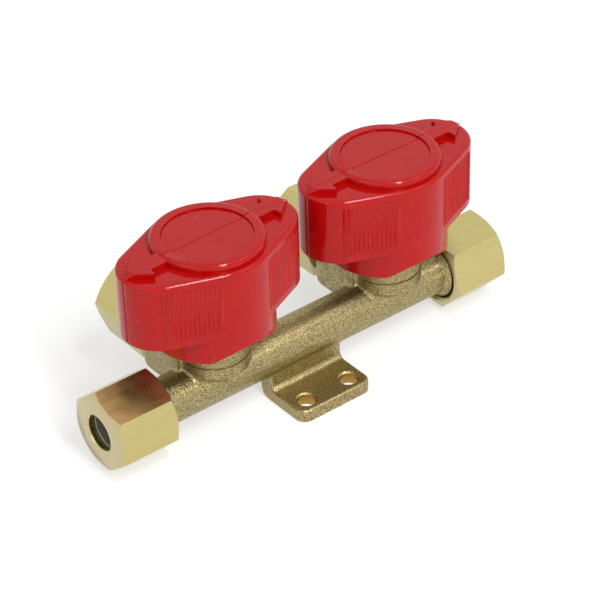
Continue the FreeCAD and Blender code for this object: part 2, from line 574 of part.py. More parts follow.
def grip_ribs():
    """Fine upright ribs that stand out from the four straight sides of the handle."""
    slant = math.radians(SIDE_ANGLE)
    start = V(HANDLE_RADIUS * math.sin(slant), HANDLE_RADIUS * math.cos(slant), 0)
    forward = V(math.cos(slant), -math.sin(slant), 0)
    outward = V(math.sin(slant), math.cos(slant), 0)
    half = forward * (GRIP_WIDTH / 2)
    ribs = []
    for i in range(GRIP_RIBS):
        centre = start + forward * (GRIP_START + i * GRIP_PITCH)
        root = centre - outward * (SHELL_WALL / 2)
        corners = [root - half, centre - half, centre + outward * GRIP_HEIGHT, centre + half, root + half]
        rib = prism([(p.x, p.y) for p in corners], GRIP_BOTTOM_RISE, GRIP_TOP_RISE)
        ribs += [rib, rib.mirror(V(0, 0, 0), ALONG)]
    return ribs + [rib.mirror(V(0, 0, 0), BACK) for rib in ribs]


def axis_line(reach, top):
    """Bar that cuts the fine line along the handle's axis into a level face at the height top."""
    half = AXIS_LINE_WIDTH / 2
    return box(-reach, reach, -half, half, top - AXIS_LINE_DEPTH, top)


def handle():
    """Moulded handle shell with hub, webs, crown, grip ribs and the moving half of the stop."""
    shell = handle_outline(0, WING_RISE, HANDLE_TOP_RISE)
    shell = rounded(shell, TOP_EDGE_ROUND, lambda e: is_level(e, HANDLE_TOP_RISE))
    shell = shell.fuse(cylinder(HANDLE_RADIUS, SKIRT_RISE, WING_RISE + SHELL_WALL))
    crown = cylinder(CROWN_RADIUS, ROOF_UNDERSIDE, CROWN_TOP)
    crown = rounded(crown, CROWN_ROUND, lambda e: is_level(e, CROWN_TOP))
    shell = shell.multiFuse([crown.cut(axis_line(CROWN_RADIUS, CROWN_TOP))] + grip_ribs())

    wings = handle_outline(SHELL_WALL, WING_RISE, ROOF_UNDERSIDE)
    wings = wings.cut(cylinder(HANDLE_RADIUS, WING_RISE, ROOF_UNDERSIDE))
    middle = cylinder(HANDLE_RADIUS - SHELL_WALL, SKIRT_RISE, ROOF_UNDERSIDE)
    hub = cylinder(HUB_RADIUS, HUB_RISE, ROOF_UNDERSIDE)
    rib_foot = ROOF_UNDERSIDE - WEB_RIB_HEIGHT
    reach = HANDLE_RADIUS - SHELL_WALL / 2
    half = WEB_RIB_THICK / 2
    webs = [box(-reach, reach, -half, half, rib_foot, ROOF_UNDERSIDE)]
    webs += [box(-half, half, -reach, reach, rib_foot, ROOF_UNDERSIDE)]
    shell = shell.cut([wings, middle.cut(hub.multiFuse(webs))])

    depth = HANDLE_RADIUS
    for side in (-1, 1):
        far = side * (SKIRT_FLAT + depth)
        corners = [V(-depth, side * SKIRT_FLAT, SKIRT_RISE), V(-depth, far, SKIRT_RISE)]
        corners += [V(-depth, far, SKIRT_RISE + depth * SKIRT_BEVEL_SLOPE)]
        wedge = Part.Face(Part.makePolygon(corners + corners[:1])).extrude(ALONG * (2 * depth))
        keep = box(-depth, depth, -depth, depth, SKIRT_RISE, WING_RISE)
        shell = shell.cut(wedge.common(keep))

    half = AXIS_LINE_WIDTH / 2
    line_foot = TIP_CENTRE + TIP_ROUND - AXIS_LINE_DEPTH
    shell = shell.cut([box(line_foot, 2 * line_foot, -half, half, WING_RISE, HANDLE_TOP_RISE),
                       box(-2 * line_foot, -line_foot, -half, half, WING_RISE, HANDLE_TOP_RISE)])

    half = SQUARE_ACROSS_FLATS / 2 + CLOSE_FIT
    square = box(-half, half, -half, half, HUB_RISE, HUB_FLOOR)
    square = square.common(cylinder(SQUARE_CORNER_RADIUS + CLOSE_FIT, HUB_RISE, HUB_FLOOR))
    screw_hole = cylinder(SCREW_THREAD_RADIUS + STOP_GAP, HUB_FLOOR, HUB_SEAT)
    well = cylinder(WELL_RADIUS, HUB_SEAT, CAP_SEAT)
    recess = cylinder(RECESS_RADIUS, CAP_SEAT, CROWN_TOP)
    shell = shell.cut(square.multiFuse([screw_hole, well, recess]))
    lug = sector(STOP_INNER_RADIUS, BONNET_NECK_RADIUS, BONNET_TOP + STOP_GAP, HUB_RISE,
                 STOP_START + STOP_SPAN + STOP_PLAY, LUG_SPAN)
    return shell.fuse(lug).removeSplitter()


def handle_screw():
    """Pan-head screw that holds the handle on the spindle."""
    head = HUB_SEAT + LOCK_WASHER_THICK
    top = head + SCREW_HEAD_HEIGHT
    shank = cylinder(SCREW_THREAD_RADIUS, head - SCREW_LENGTH, head)
    crown = cylinder(SCREW_HEAD_RADIUS, head, top)
    crown = rounded(crown, SCREW_HEAD_HEIGHT / 3, lambda e: is_level(e, top))
    half = SCREW_DRIVE_WIDTH / 2
    reach = SCREW_THREAD_RADIUS
    drive = box(-reach, reach, -half, half, top - SCREW_DRIVE_DEPTH, top)
    drive = drive.fuse(box(-half, half, -reach, reach, top - SCREW_DRIVE_DEPTH, top))
    return crown.fuse(shank).removeSplitter().cut(drive)


def lock_washer():
    """Washer under the screw's head."""
    inner = SCREW_THREAD_RADIUS + CLOSE_FIT
    top = HUB_SEAT + LOCK_WASHER_THICK
    outer = LOCK_WASHER_RADIUS
    return turned([(HUB_SEAT, inner), (HUB_SEAT, outer), (top, outer), (top, inner)])


def handle_cap():
    """Disc that closes the top of the handle, held by a short round plug."""
    radius = RECESS_RADIUS - CLOSE_FIT
    top = CAP_SEAT + CAP_THICK
    plug_inner = CAP_PLUG_RADIUS - CAP_PLUG_WALL
    plug_end = CAP_SEAT - CAP_PLUG_LENGTH
    profile = [(CAP_SEAT, 0), (CAP_SEAT, plug_inner), (plug_end, plug_inner)]
    profile += [(plug_end, CAP_PLUG_RADIUS), (CAP_SEAT, CAP_PLUG_RADIUS), (CAP_SEAT, radius)]
    return turned(profile + [(top, radius), (top, 0)]).cut(axis_line(radius, top))


def main():
    """Build every piece, put it in the part's own frame and write one file for each node."""
    os.makedirs("parts", exist_ok=True)
    pieces = {"manifold_body": manifold_body()}
    for port in PORTS:
        pieces["neck_" + port] = neck(port)
        pieces["union_nut_" + port] = union_nut(port)
        pieces["cutting_ring_" + port] = cutting_ring(port)
    valve_pieces = {"plug": plug, "lower_spring": lower_spring, "upper_spring": upper_spring,
                    "spindle": spindle, "spindle_seal": spindle_seal, "thrust_washer": thrust_washer,
                    "bonnet": bonnet, "bonnet_seal": bonnet_seal, "handle": handle,
                    "handle_screw": handle_screw, "lock_washer": lock_washer, "handle_cap": handle_cap}
    still = ("thrust_washer", "bonnet", "bonnet_seal")
    for name, make in valve_pieces.items():
        shape = make()
        for side, x in VALVE_X.items():
            piece = shape.copy()
            if side == "left" and name not in still:
                piece.rotate(V(0, 0, 0), UP, LEFT_HANDLE_TURN)
            piece.translate(V(x, 0, 0))
            pieces[name + "_" + side] = piece
    for name, shape in pieces.items():
        shape.translate(V(VALVES_FROM_SCREWS, AXIS_BEHIND_SCREWS, AXIS_HEIGHT))
        shape.exportStep("parts/" + name + ".step")
        report = (name, len(shape.Solids), shape.isValid(), shape.Volume)
        print("%-26s solids %d  valid %s  volume %.1f mm3" % report)


main()
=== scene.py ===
# %% [markdown]
# # Dressing a two-way gas valve
# The solids come from a packed construction model and stay where they are. This script gives them
# their finishes, softens the edges that catch the light, adds the small raised signs on the handles,
# and sets up the photographer's table. Everything is in metres: X along the gas line, Y to the
# back where the branches leave, Z up.

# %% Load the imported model
import json
import math
import bmesh
import bpy
import numpy as np
from mathutils import Matrix, Quaternion, Vector


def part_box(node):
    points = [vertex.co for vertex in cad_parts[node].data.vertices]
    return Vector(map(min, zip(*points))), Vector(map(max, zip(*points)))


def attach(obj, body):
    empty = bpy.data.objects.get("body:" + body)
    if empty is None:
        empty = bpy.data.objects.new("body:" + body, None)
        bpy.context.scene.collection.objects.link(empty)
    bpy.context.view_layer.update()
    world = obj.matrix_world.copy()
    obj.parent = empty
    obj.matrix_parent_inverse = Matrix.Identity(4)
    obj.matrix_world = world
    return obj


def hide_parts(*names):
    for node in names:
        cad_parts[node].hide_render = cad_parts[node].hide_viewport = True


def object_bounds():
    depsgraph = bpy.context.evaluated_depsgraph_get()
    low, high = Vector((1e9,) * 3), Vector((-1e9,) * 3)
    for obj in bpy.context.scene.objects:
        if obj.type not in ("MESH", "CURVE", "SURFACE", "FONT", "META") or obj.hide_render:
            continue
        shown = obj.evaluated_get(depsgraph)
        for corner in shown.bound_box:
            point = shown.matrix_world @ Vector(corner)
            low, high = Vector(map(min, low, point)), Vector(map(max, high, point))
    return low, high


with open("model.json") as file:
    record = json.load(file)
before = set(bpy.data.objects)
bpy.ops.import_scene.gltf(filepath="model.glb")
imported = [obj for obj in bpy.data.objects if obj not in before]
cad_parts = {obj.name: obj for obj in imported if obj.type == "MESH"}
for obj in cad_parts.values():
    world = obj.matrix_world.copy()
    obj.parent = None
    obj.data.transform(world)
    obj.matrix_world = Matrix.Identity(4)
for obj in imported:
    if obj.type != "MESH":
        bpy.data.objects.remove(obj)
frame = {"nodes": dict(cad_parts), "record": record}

CAD_BOX = [list(map(float, corner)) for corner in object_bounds()]
NODES = frame["nodes"]
RECORD = frame["record"]
SLOTS = {part["node"]: part["material_slot"] for part in RECORD["subparts"]}
BODIES = {node: body for body, members in RECORD["behaviour"]["bodies"].items() for node in members}
MM = 0.001

# %% [markdown]
# ## The camera
# The picture was taken from the front left, about 35 degrees above the table, with a long lens. The
# numbers below were found by fitting a camera to edges whose places on the part are known: nut
# corners, handle rims and screw holes. A long lens keeps parallel edges nearly parallel, which is why
# the far nut looks hardly smaller than the near one.

# %% Camera at the photographer's place
AZIMUTH, ELEVATION, ROLL = (math.radians(angle) for angle in (37.43, 35.49, -1.78))
DISTANCE = 554.2 * MM
ASIDE, LIFT = -0.56 * MM, 7.55 * MM
AIM = Vector((2.65, 12.0, 10.2)) * MM
FOCAL_PIXELS, FRAME_PIXELS, SENSOR = 2465.6, 600, 36.0
NEAREST_SEEN = 50 * MM

backward = Vector((-math.sin(AZIMUTH) * math.cos(ELEVATION),
                   -math.cos(AZIMUTH) * math.cos(ELEVATION), math.sin(ELEVATION)))
level_right = Vector((math.cos(AZIMUTH), -math.sin(AZIMUTH), 0))
level_up = backward.cross(level_right)
right = math.cos(ROLL) * level_right + math.sin(ROLL) * level_up
up = math.cos(ROLL) * level_up - math.sin(ROLL) * level_right
place = AIM + backward * DISTANCE + right * ASIDE + up * LIFT

lens = bpy.data.cameras.new("camera")
lens.sensor_width = SENSOR
lens.lens = FOCAL_PIXELS / FRAME_PIXELS * SENSOR
lens.clip_start = NEAREST_SEEN
camera = bpy.data.objects.new("camera", lens)
camera.matrix_world = Matrix.Translation(place) @ Matrix((right, up, backward)).transposed().to_4x4()
bpy.context.collection.objects.link(camera)
bpy.context.scene.camera = camera
bpy.context.scene.view_settings.view_transform = "Standard"
print("camera lens %.0f mm at %.0f mm from the part" % (lens.lens, DISTANCE / MM))

# %% [markdown]
# ## Writing shader maths as expressions
# A material in Blender is a graph of nodes. Placing every Math node by hand makes long code that is
# hard to read, so one small class wraps an output socket: adding or multiplying two of them adds the
# Math node that does it. The reflected forms make `1 - channel` work as well as `channel - 1`.

# %% Sockets as numbers
class Channel:
    """One output of a node graph. Sums and products on it add Math nodes."""

    def __init__(self, graph, socket):
        self.graph, self.socket = graph, socket

    def math(self, operation, *values):
        made = self.graph.node("ShaderNodeMath", {"operation": operation}, dict(enumerate(values)))
        return made.pick("Value")

    def __add__(self, other):
        return self.math("ADD", self, other)

    def __radd__(self, other):
        return self.math("ADD", other, self)

    def __sub__(self, other):
        return self.math("SUBTRACT", self, other)

    def __rsub__(self, other):
        return self.math("SUBTRACT", other, self)

    def __mul__(self, other):
        return self.math("MULTIPLY", self, other)

    def __rmul__(self, other):
        return self.math("MULTIPLY", other, self)

    def __abs__(self):
        return self.math("ABSOLUTE", self)

    def larger(self, other):
        return self.math("MAXIMUM", self, other)

    def above(self, limit, blur):
        """0 below the limit less the blur, 1 above the limit plus the blur, and a soft step between."""
        values = {"Value": self, "From Min": limit - blur, "From Max": limit + blur}
        step = self.graph.node("ShaderNodeMapRange", {"interpolation_type": "SMOOTHSTEP"}, values)
        return step.pick("Result")


print("sockets can be added and multiplied")

# %% [markdown]
# ## One method for every node
# `Graph.node` makes any node from its type, its settings and what goes into its sockets, and the
# node's outputs are picked by name. The same class serves the materials and the room's light.
# `Graph.seen_ray` tells rays that come from the camera, a mirror or glass from light that bounces,
# so that the surroundings can look white while they light the part at a plain level.

# %% A graph of nodes
class Made:
    """A node that was made, whose outputs are picked by name or by place."""

    def __init__(self, graph, node):
        self.graph, self.node = graph, node

    def pick(self, name):
        return Channel(self.graph, self.node.outputs[name])


class Graph:
    """A tree of shader nodes."""

    def __init__(self, tree):
        self.tree = tree

    def feed(self, socket, value):
        """Link a channel to a socket, or set a plain number, vector or colour on it."""
        if isinstance(value, Channel):
            self.tree.links.new(value.socket, socket)
        elif socket.type == "RGBA":
            socket.default_value = (*value, 1)
        else:
            socket.default_value = value

    def node(self, kind, settings, values):
        made = self.tree.nodes.new(kind)
        for key, value in settings.items():
            setattr(made, key, value)
        for key, value in values.items():
            self.feed(made.inputs[key], value)
        return Made(self, made)

    def seen_ray(self):
        """1 for rays from the camera, a reflection or glass, and 0 for light that bounces."""
        path = self.node("ShaderNodeLightPath", {}, {})
        direct_or_mirrored = path.pick("Is Camera Ray").larger(path.pick("Is Glossy Ray"))
        return direct_or_mirrored.larger(path.pick("Is Transmission Ray"))


print("graph class ready")

# %% [markdown]
# ## A finish as a small builder
# A finish is a material whose Principled shader is fed step by step. Its patterns live in object
# coordinates, which are real lengths on the part, so the grain of a casting keeps its size wherever
# it shows. A Mix node keeps its colour sockets beside those for numbers, and the three numbers named
# first are the places of its two colours and of the mixed one.

# %% Finish
FIRST_COLOUR, SECOND_COLOUR, MIXED_COLOUR = 6, 7, 2


class Finish(Graph):
    """A material under construction, with its Principled shader ready."""

    def __init__(self, name):
        self.material = bpy.data.materials.new(name)
        self.material.use_nodes = True
        super().__init__(self.material.node_tree)
        self.shader = self.tree.nodes["Principled BSDF"]
        surface = self.node("ShaderNodeTexCoord", {}, {})
        self.place, self.facing = surface.pick("Object"), surface.pick("Normal")

    def vector(self, operation, first, second, output="Vector"):
        values = {0: first, 1: second}
        return self.node("ShaderNodeVectorMath", {"operation": operation}, values).pick(output)

    def length(self, vector):
        return self.node("ShaderNodeVectorMath", {"operation": "LENGTH"}, {0: vector}).pick("Value")

    def stretched(self, factors, centre=(0, 0, 0)):
        """Object coordinates about a centre, each axis multiplied by its factor."""
        return self.vector("MULTIPLY", self.vector("SUBTRACT", self.place, centre), factors)

    def noise(self, scale, detail, vector=None):
        values = {"Vector": vector or self.place, "Scale": scale, "Detail": detail}
        return self.node("ShaderNodeTexNoise", {}, values).pick("Fac")

    def blend(self, factor, first, second):
        """Colour mix: the first colour where the factor is 0 and the second where it is 1."""
        values = {"Factor": factor, FIRST_COLOUR: first, SECOND_COLOUR: second}
        return self.node("ShaderNodeMix", {"data_type": "RGBA"}, values).pick(MIXED_COLOUR)

    def bump(self, height, distance, strength, below=None):
        """Normal of a surface raised by the height, on top of the bump below it."""
        values = {"Height": height, "Distance": distance, "Strength": strength}
        if below is not None:
            values["Normal"] = below
        return self.node("ShaderNodeBump", {}, values).pick("Normal")

    def set(self, **values):
        for name, value in values.items():
            self.feed(self.shader.inputs[name.replace("_", " ")], value)
        return self.material


print("finish builder ready")

# %% [markdown]
# ## Sand-cast brass
# The body is poured into a sand mould and then blasted, so its skin is covered with small grains about
# a third of a millimetre wide that sparkle in the light. One noise drives the bump, the roughness and
# the colour together: the grains are lighter and glossier, and the hollows between them darker and
# duller. That colour is partly the metal's own grain and partly painted: a painted glint on the grains
# and painted shade in the hollows.
# A second, broad noise breaks up the evenness as oxide does. The two screw holes of the foot are
# drilled after casting, so inside them the skin is cut through to clean, golden metal.

# %% Cast brass
GRAIN_SCALE, PATCH_SCALE = 3300.0, 140.0
# The hollow colour carries painted shade and the grain colour a painted glint, besides the metal's own grain.
HOLLOW_SHADE_BRASS, GRAIN_GLINT_BRASS = (0.215, 0.170, 0.072), (0.525, 0.443, 0.216)
OXIDE_BRASS, DRILLED_BRASS = (0.30, 0.225, 0.10), (0.42, 0.265, 0.07)
GRAIN_HEIGHT = 0.16 * MM

SCREWS = next(mount["dims"] for mount in RECORD["mounts"] if mount["name"] == "foot_screws")
CUT_BEYOND_HOLE, HOLE_BLUR = 0.1, 0.05 * MM
HOLE_AXIS = SCREWS["spacing_x_mm"] / 2 * MM
HOLE_REACH = (SCREWS["hole_r_mm"] + CUT_BEYOND_HOLE) * MM


def inside_holes(finish):
    """1 within reach of the axis of either screw hole, which stand at plus and minus the same X."""
    place = finish.node("ShaderNodeSeparateXYZ", {}, {"Vector": finish.place})
    aside = abs(abs(place.pick("X")) - HOLE_AXIS)
    from_axis = finish.node("ShaderNodeCombineXYZ", {}, {"X": aside, "Y": place.pick("Y")}).pick("Vector")
    return 1 - finish.length(from_axis).above(HOLE_REACH, HOLE_BLUR)


def cast_brass():
    """Height = fine noise; colour = brown brass with painted shade in the hollows, light brass with a painted
    glint on the grains.
    """
    finish = Finish("cast_brass")
    grains = finish.noise(GRAIN_SCALE, 1.5)
    patches = finish.noise(PATCH_SCALE, 2.0)
    # Light grains and dark hollows: partly the metal's own grain, partly a painted glint and painted shade.
    bright = grains.above(0.52, 0.15)
    skin = finish.blend(bright, HOLLOW_SHADE_BRASS, GRAIN_GLINT_BRASS)
    colour = finish.blend(patches.above(0.55, 0.2) * 0.25, skin, OXIDE_BRASS)
    drilled = inside_holes(finish)
    colour = finish.blend(drilled, colour, DRILLED_BRASS)
    normal = finish.bump(grains, GRAIN_HEIGHT, 0.9)
    roughness = (0.46 - bright * 0.18) * (1 - drilled) + drilled * 0.25
    return finish.set(Base_Color=colour, Metallic=1.0, Roughness=roughness, Normal=normal)


CAST_BRASS = cast_brass()
print("made", CAST_BRASS.name)

# %% [markdown]
# ## Turned and brushed brass
# The nuts start as drawn hexagon bar, so their flats carry fine straight lines along the axis, and
# their ends are faced on a lathe, which leaves rings. The lines are a noise that is drawn out along
# the axis, and the rings are a noise of the distance from the axis alone. No picture is needed for
# either, and the surface normal tells the two kinds of face apart.

# %% Machined brass about any axis
LINE_SCALE, RING_SCALE, DULL_SCALE = 4200.0, 3800.0, 160.0
LINE_STRETCH = 0.02
BAR_BRASS, FACED_BRASS = (0.525, 0.453, 0.188), (0.53, 0.455, 0.27)
BRIGHTER, DULLER = 1.12, 0.85
LINE_HEIGHT = 0.03 * MM


def machined_brass(name, axis, centre):
    """Height = noise stretched along the axis on the sides, and noise of the radius on the ends."""
    finish = Finish(name)
    across = [1.0 - abs(part) for part in axis]
    stretch = [part + LINE_STRETCH * (1 - part) for part in across]
    long_lines = finish.noise(LINE_SCALE, 3.0, finish.stretched(stretch, centre))
    radius = finish.length(finish.stretched(across, centre))
    ring_place = finish.node("ShaderNodeCombineXYZ", {}, {"X": radius}).pick("Vector")
    rings = finish.noise(RING_SCALE, 2.0, ring_place)
    is_end = abs(finish.vector("DOT_PRODUCT", finish.facing, axis, "Value")).above(0.8, 0.1)
    lines = rings * is_end + long_lines * (1 - is_end)
    dull = finish.noise(DULL_SCALE, 3.0).above(0.56, 0.2)
    colour = finish.blend(lines.above(0.5, 0.25), BAR_BRASS, [part * BRIGHTER for part in BAR_BRASS])
    colour = finish.blend(dull * 0.12, colour, [part * DULLER for part in BAR_BRASS])
    colour = finish.blend(is_end, colour, FACED_BRASS)
    normal = finish.bump(lines, LINE_HEIGHT, 0.6)
    roughness = 0.22 + dull * 0.07 + lines * 0.10
    return finish.set(Base_Color=colour, Metallic=1.0, Roughness=roughness, Normal=normal)


def centre_of(node):
    low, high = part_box(node)
    return (low + high) / 2


VALVE_CENTRES = {side: centre_of("spindle_" + side) for side in ("left", "right")}
LINE_BRASS = machined_brass("brass_along_line", (1, 0, 0), centre_of("union_nut_left"))
BRANCH_BRASS = {side: machined_brass("brass_branch_" + side, (0, 1, 0), centre_of("union_nut_branch_" + side))
                for side in VALVE_CENTRES}
UPRIGHT_BRASS = {side: machined_brass("brass_upright_" + side, (0, 0, 1), VALVE_CENTRES[side])
                 for side in VALVE_CENTRES}
print("made brass about", 1 + len(BRANCH_BRASS) + len(UPRIGHT_BRASS), "axes")

# %% [markdown]
# ## Moulded red plastic
# The handles are injection moulded in a hard red plastic. Its skin is smooth but not polished: the
# steel mould was spark-eroded, which prints a very fine, soft grain. The red itself hardly shines, and
# a thin clear coat on top of it stands for the glossy moulded skin, so that only rounded edges show
# a pale highlight.

# %% Red plastic
MOULD_GRAIN_SCALE, WAVE_SCALE, SCUFF_SCALE = 4200.0, 190.0, 700.0
DEEP_RED, LIGHT_RED, SCUFFED_RED = (0.415, 0.0015, 0.001), (0.445, 0.0025, 0.002), (0.60, 0.08, 0.07)
WAVE_HEIGHT, MOULD_GRAIN_HEIGHT = 0.05 * MM, 0.02 * MM


def red_plastic():
    """Height = fine mould grain plus a faint waviness; roughness rises where the grain is high."""
    finish = Finish("red_plastic")
    grain = finish.noise(MOULD_GRAIN_SCALE, 2.0)
    waves = finish.noise(WAVE_SCALE, 2.0)
    scuffs = finish.noise(SCUFF_SCALE, 4.0, finish.stretched((1.0, 0.35, 0.8))).above(0.66, 0.06)
    colour = finish.blend(waves.above(0.5, 0.35), DEEP_RED, LIGHT_RED)
    colour = finish.blend(scuffs * 0.12, colour, SCUFFED_RED)
    normal = finish.bump(waves, WAVE_HEIGHT, 0.35)
    normal = finish.bump(grain, MOULD_GRAIN_HEIGHT, 0.45, normal)
    roughness = 0.24 + grain * 0.08 + scuffs * 0.12
    return finish.set(Base_Color=colour, Roughness=roughness, Normal=normal, Specular_IOR_Level=0.05,
                      Coat_Weight=0.45, Coat_Roughness=0.09)


RED_PLASTIC = red_plastic()
print("made", RED_PLASTIC.name)

# %% [markdown]
# ## Steel, rubber and slippery plastic
# The cutting rings, screws and washers are steel with a thin zinc plating, which looks like frosted
# silver. The disc springs are plain stainless strip. The seals are black rubber with a faint bloom, and
# the thrust washers are a white plastic that feels waxy. One function makes them all, since each is a
# base colour, a finer or coarser grain and a gloss.

# %% Plain materials with grain
BROAD_SHARE = 0.12
GRAIN_DEPTH = 0.02 * MM


def grained(name, dark, light, grain_size, roughness, metallic=0.0):
    """Colour runs from dark to light with a noise of the grain size, which is also the height."""
    finish = Finish(name)
    grain = finish.noise(1.0 / (grain_size * MM), 3.0)
    broad = finish.noise(BROAD_SHARE / (grain_size * MM), 2.0)
    colour = finish.blend((grain * 0.6 + broad * 0.4).above(0.5, 0.22), dark, light)
    normal = finish.bump(grain, GRAIN_DEPTH, 0.5)
    return finish.set(Base_Color=colour, Metallic=metallic, Roughness=roughness + grain * 0.1, Normal=normal)


GRAINED = {
    "zinc_steel": grained("zinc_steel", (0.70, 0.72, 0.74), (0.86, 0.87, 0.88), 0.25, 0.30, metallic=1.0),
    "stainless": grained("stainless", (0.50, 0.50, 0.50), (0.66, 0.65, 0.64), 0.4, 0.22, metallic=1.0),
    "seal_rubber": grained("seal_rubber", (0.018, 0.018, 0.019), (0.040, 0.040, 0.041), 0.3, 0.55),
    "white_plastic": grained("white_plastic", (0.78, 0.78, 0.75), (0.86, 0.86, 0.84), 0.5, 0.38),
}
print("made", ", ".join(GRAINED))

# %% [markdown]
# ## Giving every solid its finish
# The record names a material slot for each solid. Machined brass also needs the axis that the piece
# was turned about: the line's axis for the end nuts and necks, the branches' own axes at the back, and
# the upright spindle axis for what sits inside the valves. The finish goes into the solid's own
# material slot, so its mesh stays as the construction model made it.

# %% Finish for every solid
def finish_for(node):
    """The material of a node, by its slot and, for machined brass, by the axis it was turned about."""
    slot = SLOTS[node]
    if slot == "cast_brass":
        return CAST_BRASS
    if slot == "red_plastic":
        return RED_PLASTIC
    if slot != "machined_brass":
        return GRAINED[slot]
    side = "left" if node.endswith("left") else "right"
    if "branch" in node:
        return BRANCH_BRASS[side]
    return LINE_BRASS if node.startswith(("neck", "union_nut")) else UPRIGHT_BRASS[side]


for node, solid in NODES.items():
    solid.data.materials.clear()
    solid.data.materials.append(finish_for(node))
print("finished", len(NODES), "solids")

# %% [markdown]
# ## Softened edges
# A construction model has edges of no width, and real ones always have a small round that catches
# the light. The solid itself is left alone. A copy has its loose triangles merged and flat areas
# joined, then a Bevel modifier rounds the sharp edges, and smooth shading hides the facets of round
# surfaces. The copy stands for the solid in pictures only.

# %% Softened copies of the outer pieces
MERGE_DISTANCE = 0.002 * MM
FLAT_ANGLE = math.radians(0.2)
SHARP_ANGLE = math.radians(32)
EDGE_SEGMENTS = 2


def soften(node, width):
    """A merged copy of a node's mesh with its sharp edges rounded to a width in millimetres."""
    mesh = NODES[node].data.copy()
    shape = bmesh.new()
    shape.from_mesh(mesh)
    bmesh.ops.remove_doubles(shape, verts=shape.verts, dist=MERGE_DISTANCE)
    bmesh.ops.dissolve_limit(shape, angle_limit=FLAT_ANGLE, verts=shape.verts, edges=shape.edges)
    shape.to_mesh(mesh)
    shape.free()
    mesh.shade_smooth()
    mesh.set_sharp_from_angle(angle=SHARP_ANGLE)
    piece = bpy.data.objects.new(node + "_soft", mesh)
    bpy.context.collection.objects.link(piece)
    bevel = piece.modifiers.new("edges", "BEVEL")
    bevel.width, bevel.segments = width * MM, EDGE_SEGMENTS
    bevel.limit_method, bevel.angle_limit = "ANGLE", SHARP_ANGLE
    bevel.harden_normals = True
    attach(piece, BODIES[node])
    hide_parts(node)
    return piece


EDGE_WIDTHS = {"manifold_body": 0.22, "handle_left": 0.10, "handle_right": 0.10,
               "handle_cap_left": 0.10, "handle_cap_right": 0.10}
for port in ("left", "right", "branch_left", "branch_right"):
    EDGE_WIDTHS.update({"union_nut_" + port: 0.16, "neck_" + port: 0.10, "cutting_ring_" + port: 0.06})
SOFT = [soften(node, width) for node, width in EDGE_WIDTHS.items()]
print("softened", len(SOFT), "pieces")

# %% [markdown]
# ## Raised arrows on the handles
# A low arrow points towards each tip of a handle and is nearly as high as the ring that it grows out
# of. It could be cut into the handle's mesh, but a piece of its own that dips below the handle's top
# is simpler and looks the same. It is drawn in millimetres from the handle's axis, pointing along X.
# One half of its outline is listed, and the other half is its mirror. Near the tip the top slopes
# down to the edge, so the top is closed with two faces, a level one and a sloping one.

# %% The arrow's sizes in millimetres
ARROW_START, HEAD_START, BARB_START, SLOPE_START, SLOPE_END = 11.6, 16.6, 17.0, 20.5, 22.1
SHAFT_HALF, BARB_HALF, SLOPE_HALF = 2.05, 4.0, 1.255
ARROW_TOP, ARROW_FOOT, TIP_HEIGHT = 1.35, -0.4, 0.3
ARROW_ROUND, ROUND_MIDDLE = 0.10, 0.03
HALF_OUTLINE = [(ARROW_START, SHAFT_HALF), (HEAD_START, SHAFT_HALF),
                (BARB_START, BARB_HALF), (SLOPE_START, SLOPE_HALF)]
MIRRORED = [(x, -y) for x, y in HALF_OUTLINE]
ARROW_OUTLINE = np.array(MIRRORED[:1] + HALF_OUTLINE + [(SLOPE_END, 0.0)] + MIRRORED[:0:-1])
LEVEL_CORNERS, SLOPING_CORNERS = [8, 7, 6, 4, 3, 2, 1, 0], [6, 5, 4]
ARROW_PROFILE = np.array([(0.0, ARROW_FOOT), (0.0, ARROW_TOP - ARROW_ROUND),
                          (ROUND_MIDDLE, ARROW_TOP - ROUND_MIDDLE), (ARROW_ROUND, ARROW_TOP)])
SEAM_HALF, SEAM_HEIGHT, SEAM_FOOT, SEAM_END = 0.10, 0.07, -0.1, 21.9
SEAM_STATIONS = np.array([ARROW_START, SLOPE_START, SEAM_END])
SEAM_PROFILE = np.array([(-SEAM_HALF, SEAM_FOOT), (0.0, SEAM_HEIGHT), (SEAM_HALF, SEAM_FOOT)])
print("arrow outline with", len(ARROW_OUTLINE), "corners, %.2f mm high" % ARROW_TOP)

# %% [markdown]
# ## An outline carried up a profile
# The outline is carried up a profile of two numbers a step, how far in and how far up: straight up
# the wall and then in over a very small round. A bevel could round the edge as well, but it would
# also cut into the foot and the fold of the slope. The seam of the mould runs along the middle as a
# fine ridge, which is a three-cornered profile carried along the top.

# %% Surfaces of the arrow
def top_at(x):
    """Height of the arrow's top: level, then falling evenly from the start of the slope to its end."""
    fallen = np.clip((x - SLOPE_START) / (SLOPE_END - SLOPE_START), 0, 1)
    return ARROW_TOP - fallen * (ARROW_TOP - TIP_HEIGHT)


def inset(outline, distance):
    """Each corner moved inwards along its two edges' bisector until it is that far from both."""
    ahead = np.roll(outline, -1, axis=0) - outline
    ahead /= np.linalg.norm(ahead, axis=1)[:, None]
    behind = np.roll(ahead, 1, axis=0)
    inward = np.stack([ahead[:, 1] + behind[:, 1], -ahead[:, 0] - behind[:, 0]], axis=1)
    spread = 1 + (ahead * behind).sum(axis=1)
    return outline + inward * (distance / spread)[:, None]


def bands(rows, count):
    """Quads between neighbouring rows of a closed ring of so many corners."""
    corner = np.arange(count)
    ahead = (corner + 1) % count
    rings = [np.stack([ahead + low, corner + low, corner + low + count, ahead + low + count], 1)
             for low in count * np.arange(rows - 1)]
    return np.concatenate(rings).tolist()


